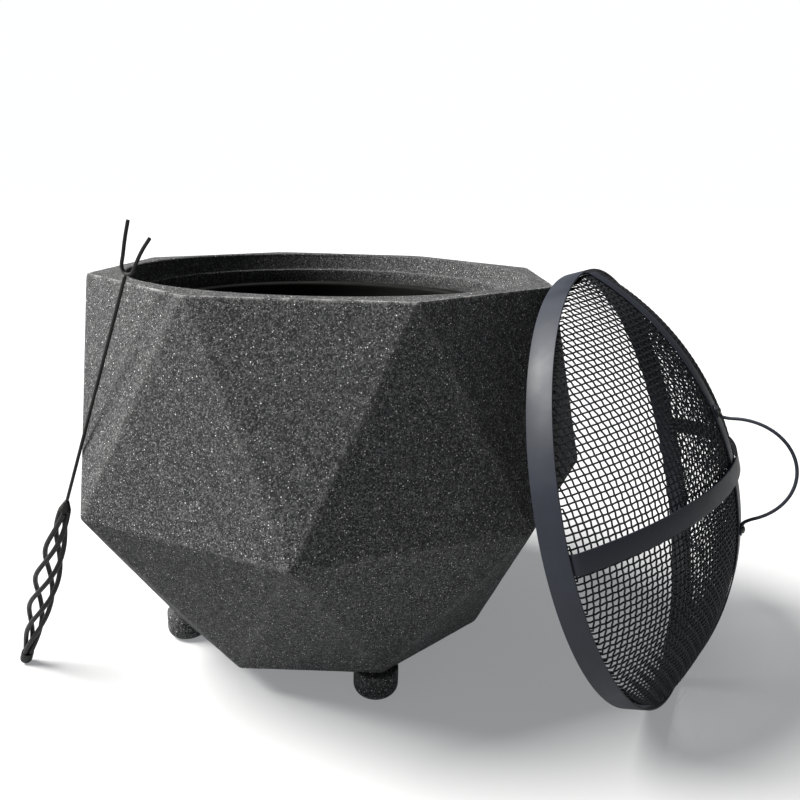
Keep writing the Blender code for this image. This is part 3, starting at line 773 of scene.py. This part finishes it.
def make_grate():
    """The welded log grate, with a bead where each bar crosses the ring."""
    z = BOWL_FLOOR + GRATE_HEIGHT
    bar_z = z + GRATE_WIRE + GRATE_BAR + GAP
    x0, y0 = POT.x, POT.y
    ring = [(x0 + GRATE_RADIUS * math.cos(a), y0 + GRATE_RADIUS * math.sin(a), z)
            for a in (TURN * k / 160 for k in range(160))]
    wire = GRATE_WIRE - DEEP_INSET
    link("grate_hoop", tube("grate_hoop", ring, wire, 16, True), "grate_iron", "log_grate",
         ["grate_ring"])
    beads = []
    for i in range(GRATE_BARS):
        y = (i - (GRATE_BARS - 1) / 2) * GRATE_PITCH
        half = math.sqrt((GRATE_RADIUS + GRATE_WIRE / 2) ** 2 - y**2) - 0.0001
        path = straight((x0 - half, y0 + y, bar_z), (x0 + half, y0 + y, bar_z))
        name = f"grate_rod_{i + 1}"
        mesh = tube(name, path, GRATE_BAR - DEEP_INSET, 16)
        link(name, mesh, "grate_iron", "log_grate", [f"grate_bar_{i + 1}"])
        cross = math.sqrt(GRATE_RADIUS**2 - y**2)
        for x, size in ((-cross, 0.0024), (cross, 0.0024), (-GRATE_CROSS_X, 0.0022), (GRATE_CROSS_X, 0.0022)):
            beads.append(weld((x0 + x, y0 + y, z + GRATE_WIRE + 0.0002), size, len(beads)))
    reach = math.sqrt((GRATE_RADIUS - GRATE_WIRE) ** 2 - (GRATE_CROSS_X + GRATE_WIRE) ** 2) - GAP
    for side, x in (("left", -GRATE_CROSS_X), ("right", GRATE_CROSS_X)):
        path = straight((x0 + x, y0 - reach, z), (x0 + x, y0 + reach, z))
        name = "grate_brace_" + side
        link(name, tube(name, path, wire, 16), "grate_iron", "log_grate", ["grate_cross_bar_" + side])
        for y in (-reach, reach):
            beads.append(weld((x0 + x, y0 + y, z), 0.0030, len(beads)))
        for end, y in (("front", -GRATE_LEG_Y), ("back", GRATE_LEG_Y)):
            low, high = BOWL_FLOOR + GAP, z - GRATE_WIRE - GAP
            name = f"grate_post_{side}_{end}"
            mesh = tube(name, straight((x0 + x, y0 + y, low), (x0 + x, y0 + y, high)), wire, 16)
            link(name, mesh, "grate_iron", "log_grate", [f"grate_leg_{side}_{end}"])
            beads.append(weld((x0 + x, y0 + y, high), 0.0031, len(beads)))
    link("grate_weld_beads", join_meshes("grate_weld_beads", beads), "grate_iron", "log_grate")


# -------- spark screen


def screen_place():
    """The screen's own frame in the row frame."""
    cos, sin = math.cos(SCREEN_AZIMUTH), math.sin(SCREEN_AZIMUTH)
    x = POT.x + SCREEN_DISTANCE * cos - SCREEN_SHIFT * sin
    y = POT.y + SCREEN_DISTANCE * sin + SCREEN_SHIFT * cos
    place = Matrix.Translation((x, y, SCREEN_RADIUS * math.cos(SCREEN_TILT)))
    turn = Matrix.Rotation(SCREEN_AZIMUTH, 4, "Z") @ Matrix.Rotation(math.pi / 2 - SCREEN_TILT, 4, "Y")
    return place @ turn


def shell_base():
    """Radius of the middle of the mesh shell's skirt."""
    strap = math.sqrt((SCREEN_RADIUS - HOOP_STEEL) ** 2 - (STRAP_WIDTH / 2) ** 2)
    strap -= 2 * GAP + STRAP_STEEL / 2
    return strap - STRAP_STEEL / 2 - GAP - SHELL_THICKNESS / 2


def sphere():
    """Radius of the dome's sphere and the height of its centre."""
    base = shell_base()
    radius = (base**2 + DOME_RISE**2) / (2 * DOME_RISE)
    return radius, HOOP_WIDTH + DOME_RISE - radius


def net_wires():
    """Paths of the woven wires over the dome, laid along the straps and evenly spaced at the crown."""
    radius, centre = sphere()
    base = shell_base()
    edge = math.asin(base / radius)
    count = int(edge * radius / PITCH)
    per_cell = 4
    paths = []
    for direction in (0, 1):
        for i in range(-count, count + 1):
            offset = i * PITCH / radius
            plane = math.sin(offset)
            reach = math.sqrt(max(0.0, math.sin(edge) ** 2 - plane**2))
            if reach * radius < 0.010:
                continue
            ring = math.sqrt(1 - plane**2)
            limit = math.asin(reach / ring)
            steps = max(8, round(2 * limit * ring * radius / PITCH * per_cell))
            angles = np.linspace(-limit, limit, steps + 1)
            along, height = ring * np.sin(angles), ring * np.cos(angles)
            across = np.full_like(along, plane)
            unit = np.stack([along, across, height] if direction == 0 else [across, along, height], -1)
            partner = np.arcsin(np.clip(unit[:, direction], -1, 1)) * radius / PITCH
            weave = np.cos(math.pi * partner) * (-1 if (i + direction) % 2 else 1)
            fade = np.clip((limit - np.abs(angles)) * radius / 0.004, 0, 1)
            lift = WIRE * CRIMP * weave * fade
            path = unit * (radius + lift)[:, None] + np.array((0, 0, centre))
            ends = []
            for tip in (path[0], path[-1]):
                flat = tip * (1, 1, 0)
                flat = flat / np.linalg.norm(flat) * base
                ends.append([flat + (0, 0, HOOP_WIDTH - SKIRT * k / 2) for k in (1, 2)])
            paths.append(np.concatenate([ends[0][::-1], path, ends[1]]))
    return paths


def make_net():
    """The woven wire dome, every wire crimped over and under the ones it crosses."""
    vertices, faces, start = [], [], 0
    sides = 6
    for path in net_wires():
        rows = tube_rows(path, WIRE, sides)
        count = len(rows)
        i = np.arange(count - 1)[:, None] * sides + start
        j = np.arange(sides)[None, :]
        ahead = (j + 1) % sides
        faces.append(np.stack([i + j, i + ahead, i + sides + ahead, i + sides + j], -1).reshape(-1, 4))
        vertices.append(rows.reshape(-1, 3))
        start += count * sides
    quads = np.concatenate(faces).tolist()
    caps, start = [], 0
    for block in vertices:
        last = start + len(block) - sides
        caps.append(list(range(start + sides - 1, start - 1, -1)))
        caps.append(list(range(last, last + sides)))
        start += len(block)
    mesh = bpy.data.meshes.new("screen_woven_wire")
    mesh.from_pydata(np.concatenate(vertices).tolist(), [], quads + caps)
    mesh.shade_smooth()
    link("screen_woven_wire", mesh, "mesh_wire", "spark_screen", ["screen_mesh"], screen_place())


def make_hoop():
    """The flat hoop, with softly broken edges."""
    inner = SCREEN_RADIUS - HOOP_STEEL + INSET
    outer = SCREEN_RADIUS - INSET
    corners = [(inner, INSET), (outer, INSET), (outer, HOOP_WIDTH), (inner, HOOP_WIDTH)]
    profile = rounded(corners, 0.0005, 3, closed=True)
    mesh = grid_mesh("screen_band", lathe(profile, HOOP_AROUND), closed_rows=True)
    fix_normals(mesh)
    smooth_by_angle(mesh, 40)
    link("screen_band", mesh, "screen_paint", "spark_screen", ["screen_hoop"], screen_place())


def fix_normals(mesh):
    """Turn a closed mesh's faces outwards."""
    tool = bmesh.new()
    tool.from_mesh(mesh)
    bmesh.ops.recalc_face_normals(tool, faces=tool.faces)
    tool.to_mesh(mesh)
    tool.free()


def strap_line(lift):
    """Side view of a strap's middle: over the dome and down inside the hoop."""
    radius, centre = sphere()
    radius += SHELL_THICKNESS / 2 + lift + STRAP_STEEL / 2
    base = shell_base() + SHELL_THICKNESS / 2 + GAP + STRAP_STEEL / 2
    edge = math.asin(base / radius)
    side = [(radius * math.sin(edge * k / 60), centre + radius * math.cos(edge * k / 60))
            for k in range(61)]
    low = HOOP_WIDTH - 0.009 + 0.0001
    bend = side[-1][1]
    side = side[:-1] + rounded([side[-2], (base, bend - 0.001), (base, low)], 0.003, 5)[1:]
    return [(-x, z) for x, z in reversed(side[1:])] + side


def strap_mesh(name, line, turn):
    """A flat strap with eased edges, swept along its side view."""
    line = np.array(line)
    tangent = np.gradient(line, axis=0)
    tangent /= np.linalg.norm(tangent, axis=1)[:, None]
    out = np.stack([-tangent[:, 1], tangent[:, 0]], -1)
    wide, thick = STRAP_WIDTH / 2 - DEEP_INSET, STRAP_STEEL / 2 - INSET
    corners = [(-wide, -thick), (wide, -thick), (wide, thick), (-wide, thick)]
    section = rounded(corners, 0.00045, 3, closed=True)
    cos, sin = math.cos(turn), math.sin(turn)
    rows = []
    for (x, z), (ox, oz) in zip(line, out):
        row = []
        for across, up in section:
            along = x + ox * up
            row.append((along * cos - across * sin, along * sin + across * cos, z + oz * up))
        rows.append(row)
    mesh = grid_mesh(name, rows)
    capped(mesh, len(section))
    smooth_by_angle(mesh, 40)
    return mesh


def on_strap(along, height):
    """Point and direction on the upright strap's line."""
    radius, centre = sphere()
    angle = math.asin(along / radius)
    out = Vector((math.sin(angle), 0, math.cos(angle)))
    return Vector((0, 0, centre)) + out * (radius + height), out


def make_straps():
    """The two crossed straps, spot welded at the hoop."""
    place = screen_place()
    level = strap_mesh("screen_band_level", strap_line(STRAP_STEEL + 3 * GAP), math.pi / 2)
    upright = strap_mesh("screen_band_upright", strap_line(GAP), 0)
    link("screen_band_level", level, "screen_paint", "spark_screen", ["screen_strap_level"], place)
    link("screen_band_upright", upright, "screen_paint", "spark_screen", ["screen_strap_upright"],
         place)
    spots = []
    base = shell_base() + SHELL_THICKNESS / 2 + GAP
    for k in range(4):
        angle = k * math.pi / 2
        for across in (-0.005, 0.005):
            flat = Vector((base - 0.0001, across, HOOP_WIDTH - 0.0052))
            spots.append(spot(Matrix.Rotation(angle, 3, "Z") @ flat, angle))
    spots = join_meshes("screen_spot_welds", spots)
    link("screen_spot_welds", spots, "screen_paint", "spark_screen", (), place)


def spot(place, angle):
    """A shallow dimpled spot weld on a tab's inner face."""
    dimple = [(0.0002, 0.0002), (0.0009, 0.0003), (0.0014, 0.00045), (0.0019, 0.0003), (0.0022, 0)]
    mesh = grid_mesh("spot", lathe(dimple, SPOT_AROUND))
    capped(mesh, SPOT_AROUND)
    turn = Matrix.Rotation(angle, 4, "Z") @ Matrix.Rotation(-math.pi / 2, 4, "Y")
    mesh.transform(Matrix.Translation(place) @ turn)
    mesh.shade_smooth()
    return mesh


def handle_points():
    """The handle's wire from its upper eye over the crown to its lower one."""
    eye = SHELL_THICKNESS / 2 + GAP + STRAP_STEEL + GAP
    height = eye + HANDLE_WIRE + 0.0002
    foot, _ = on_strap(BOLT_OFFSET - 0.0047, height)
    bend, _ = on_strap(HANDLE_HALF_CHORD + 0.0015, height)
    side = [foot, bend]
    for i in range(1, 12):
        angle = math.pi / 2 * i / 12
        side.append(Vector((HANDLE_HALF_CHORD * math.cos(angle), 0, bend.z + HANDLE_RISE * math.sin(angle))))
    crown = [Vector((0, 0, bend.z + HANDLE_RISE))]
    path = side + crown + [Vector((-p.x, 0, p.z)) for p in reversed(side)]
    for _ in range(3):
        path = [path[0]] + [a.lerp(b, f) for a, b in zip(path, path[1:]) for f in (0.25, 0.75)] + [path[-1]]
    return [tuple(p) for p in path]


def make_handle():
    """The wire handle and the flattened eyes at its ends."""
    pieces = [tube("wire", handle_points(), HANDLE_WIRE - INSET, 20)]
    eye = SHELL_THICKNESS / 2 + GAP + STRAP_STEEL + GAP
    for along in (-BOLT_OFFSET, BOLT_OFFSET):
        base, out = on_strap(along, eye + EYE_THICKNESS / 2)
        half, inner, outer = EYE_THICKNESS / 2 - DEEP_INSET, 0.0024, EYE_RADIUS - 0.00005
        corners = [(inner, -half), (outer, -half), (outer, half), (inner, half)]
        ring = grid_mesh("eye", lathe(rounded(corners, 0.0004, closed=True), 48), closed_rows=True)
        fix_normals(ring)
        ring.transform(Matrix.Translation(base) @ out.to_track_quat("Z", "Y").to_matrix().to_4x4())
        smooth_by_angle(ring, 40)
        pieces.append(ring)
    mesh = join_meshes("screen_wire_handle", pieces)
    link("screen_wire_handle", mesh, "screen_paint", "spark_screen", ["screen_handle"], screen_place())


def smooth_nodes(names):
    """Weld and smooth CAD nodes by a modifier. Their meshes stay as they are."""
    group = bpy.data.node_groups.get("smooth_by_angle") or smoothing_group(35)
    for name in names:
        modifier = NODES[name].modifiers.new("Smooth", "NODES")
        modifier.node_group = group


def smoothing_group(degrees):
    """Geometry nodes that merge split corners, then shade smooth below an angle."""
    group = bpy.data.node_groups.new("smooth_by_angle", "GeometryNodeTree")
    group.interface.new_socket("Geometry", in_out="INPUT", socket_type="NodeSocketGeometry")
    group.interface.new_socket("Geometry", in_out="OUTPUT", socket_type="NodeSocketGeometry")
    nodes, links = group.nodes, group.links
    start = nodes.new("NodeGroupInput")
    end = nodes.new("NodeGroupOutput")
    strip = nodes.new("GeometryNodeRemoveAttribute")
    strip.inputs["Name"].default_value = "custom_normal"
    merge = nodes.new("GeometryNodeMergeByDistance")
    merge.inputs["Distance"].default_value = 1e-6
    angle = nodes.new("GeometryNodeInputMeshEdgeAngle")
    compare = nodes.new("FunctionNodeCompare")
    compare.operation = "LESS_THAN"
    compare.inputs["B"].default_value = math.radians(degrees)
    faces = nodes.new("GeometryNodeSetShadeSmooth")
    edges = nodes.new("GeometryNodeSetShadeSmooth")
    edges.domain = "EDGE"
    links.new(start.outputs[0], strip.inputs["Geometry"])
    for before, after in ((strip, merge), (merge, faces), (faces, edges)):
        links.new(before.outputs["Geometry"], after.inputs["Geometry"])
    links.new(angle.outputs["Unsigned Angle"], compare.inputs["A"])
    links.new(compare.outputs["Result"], edges.inputs["Shade Smooth"])
    links.new(edges.outputs["Geometry"], end.inputs[0])
    return group


# -------- poker


def poker_place():
    """The poker's own frame in the row frame."""
    place = Matrix.Translation(POT + POKER_FOOT)
    turn = Matrix.Rotation(POKER_AZIMUTH, 4, "Z") @ Matrix.Rotation(POKER_LEAN, 4, "Y")
    return place @ turn


def cage_point(turn, fraction):
    """Point on a twisted bar of the basket handle."""
    swell = math.sin(math.pi * fraction) ** 1.3
    radius = CAGE_END_RADIUS + (CAGE_RADIUS - CAGE_END_RADIUS) * swell
    angle = turn + CAGE_TWIST * fraction
    z = CAGE_START + 2 * GAP + CAGE_LENGTH * fraction
    return radius * math.cos(angle), radius * math.sin(angle), z


def make_poker():
    """Basket handle, collar, rod and fork."""
    place = poker_place()
    for k in range(CAGE_BARS):
        path = [cage_point(TURN * k / CAGE_BARS, i / CAGE_STEPS) for i in range(CAGE_STEPS + 1)]
        name = f"poker_twist_{k + 1}"
        mesh = tube(name, path, CAGE_WIRE - INSET, 14)
        link(name, mesh, "poker_iron", "poker", [f"poker_cage_bar_{k + 1}"], place)
    low = CAGE_START + CAGE_LENGTH + 4 * GAP
    high = low + COLLAR_LENGTH
    collar = [(0.0003, high), (ROD_RADIUS + 0.0006, high), (POKER_END - 0.0001, low), (0.0003, low)]
    solid_turned("poker_neck", rounded(collar, 0.0012, 4), place, "poker_collar")
    cap = [(0.0003, CAGE_START), (POKER_END - 0.0002, CAGE_START), (POKER_END - 0.00005, CAGE_START - 0.0008)]
    cap += [(POKER_END * math.cos(a) - 0.00005, -POKER_END * math.sin(a))
            for a in (math.pi / 2 * k / 14 for k in range(14))]
    cap.append((0.0003, -POKER_END + DEEP_INSET))
    solid_turned("poker_pommel", cap, place, "poker_end_cap")
    rod = tube("poker_shaft", straight((0, 0, high + GAP), (0, 0, ROD_END), 40), ROD_RADIUS - INSET, 16)
    link("poker_shaft", rod, "poker_iron", "poker", ["poker_rod"], place)
    smooth_nodes(["poker_fork"])


def solid_turned(name, profile, place, node):
    """A closed turned piece of the poker."""
    mesh = grid_mesh(name, lathe(profile, TURNED_AROUND))
    capped(mesh, TURNED_AROUND)
    smooth_by_angle(mesh, 60)
    link(name, mesh, "poker_iron", "poker", [node], place)


# -------- stage


def dress_nodes():
    """Give every CAD node that stays in view its detailed material."""
    for part in frame["record"]["subparts"]:
        node = NODES[part["node"]]
        for slot in node.material_slots:
            slot.material = MATERIALS[part["material_slot"]]
    smooth_nodes([n for n in NODES if n.startswith(("screen_bolt", "screen_nut"))])


def make_floor():
    """A plain pale floor that reaches past every view."""
    mesh = bpy.data.meshes.new("floor")
    reach = 40.0
    corners = [(-reach, -reach, 0), (reach, -reach, 0), (reach, reach, 0), (-reach, reach, 0)]
    mesh.from_pydata(corners, [], [(0, 1, 2, 3)])
    floor = bpy.data.objects.new("floor", mesh)
    bpy.context.scene.collection.objects.link(floor)
    floor.location.z = -0.0002
    material = bpy.data.materials.new("floor_white")
    material.use_nodes = True
    shader = material.node_tree.nodes["Principled BSDF"]
    shader.inputs["Base Color"].default_value = (0.29, 0.29, 0.295, 1)
    shader.inputs["Roughness"].default_value = 0.7
    shader.inputs["Specular IOR Level"].default_value = 0.0
    shader.inputs["Emission Color"].default_value = (0.96, 0.98, 1.0, 1)
    shader.inputs["Emission Strength"].default_value = FLOOR_GLOW
    mesh.materials.append(material)


def make_sun():
    """A broad soft light from far away, from the left and above."""
    data = bpy.data.lights.new("key", "SUN")
    data.energy = SUN_POWER
    data.angle = math.radians(SUN_SOFTNESS)
    data.color = (1.0, 0.985, 0.955)
    light = bpy.data.objects.new("key", data)
    bpy.context.scene.collection.objects.link(light)
    turn, rise = math.radians(SUN_BEARING), math.radians(SUN_HEIGHT)
    towards = Vector((math.cos(turn) * math.cos(rise), math.sin(turn) * math.cos(rise), math.sin(rise)))
    light.rotation_euler = towards.to_track_quat("Z", "Y").to_euler()


def make_world():
    """White surroundings: bright to look at, but dimmer as a light, and dimmest on the right."""
    world = bpy.data.worlds.new("studio")
    bpy.context.scene.world = world
    world.use_nodes = True
    nodes, links = world.node_tree.nodes, world.node_tree.links
    place = nodes.new("ShaderNodeTexCoord")
    parts = nodes.new("ShaderNodeSeparateXYZ")
    links.new(place.outputs["Generated"], parts.inputs["Vector"])
    side = nodes.new("ShaderNodeMapRange")
    side.inputs["From Min"].default_value = 0.9
    side.inputs["From Max"].default_value = -0.9
    side.inputs["To Min"].default_value = SKY_RIGHT
    side.inputs["To Max"].default_value = SKY_LEFT
    links.new(parts.outputs["X"], side.inputs["Value"])
    seen = nodes.new("ShaderNodeLightPath")
    strength = nodes.new("ShaderNodeMix")
    strength.data_type = "FLOAT"
    links.new(seen.outputs["Is Camera Ray"], strength.inputs["Factor"])
    links.new(side.outputs["Result"], strength.inputs["A"])
    strength.inputs["B"].default_value = SKY_SEEN
    background = nodes["Background"]
    background.inputs["Color"].default_value = (0.95, 0.975, 1.0, 1)
    links.new(strength.outputs["Result"], background.inputs["Strength"])


def make_camera():
    """The camera, a little above the rim and almost square to the pot."""
    data = bpy.data.cameras.new("camera")
    data.sensor_width = CAMERA_SENSOR
    data.lens = CAMERA_LENS
    camera = bpy.data.objects.new("camera", data)
    bpy.context.scene.collection.objects.link(camera)
    yaw, pitch, roll = (math.radians(angle) for angle in CAMERA_TURN)
    ahead = Vector((math.sin(yaw) * math.cos(pitch), math.cos(yaw) * math.cos(pitch), -math.sin(pitch)))
    right = Vector((math.cos(yaw), -math.sin(yaw), 0))
    up = right.cross(ahead)
    across = math.cos(roll) * right + math.sin(roll) * up
    up = math.cos(roll) * up - math.sin(roll) * right
    turn = Matrix((across, up, -ahead)).transposed().to_4x4()
    camera.matrix_world = Matrix.Translation(CAMERA_PLACE) @ turn
    data.clip_start = 0.02
    data.clip_end = 200
    bpy.context.scene.camera = camera


MATERIALS = make_materials()
dress_nodes()
make_pot()
make_feet()
make_bowl()
make_grate()
make_net()
make_hoop()
make_straps()
make_handle()
make_poker()
make_floor()
make_world()
make_sun()
make_camera()
bpy.context.scene.view_settings.view_transform = "Standard"

bpy.context.view_layer.update()
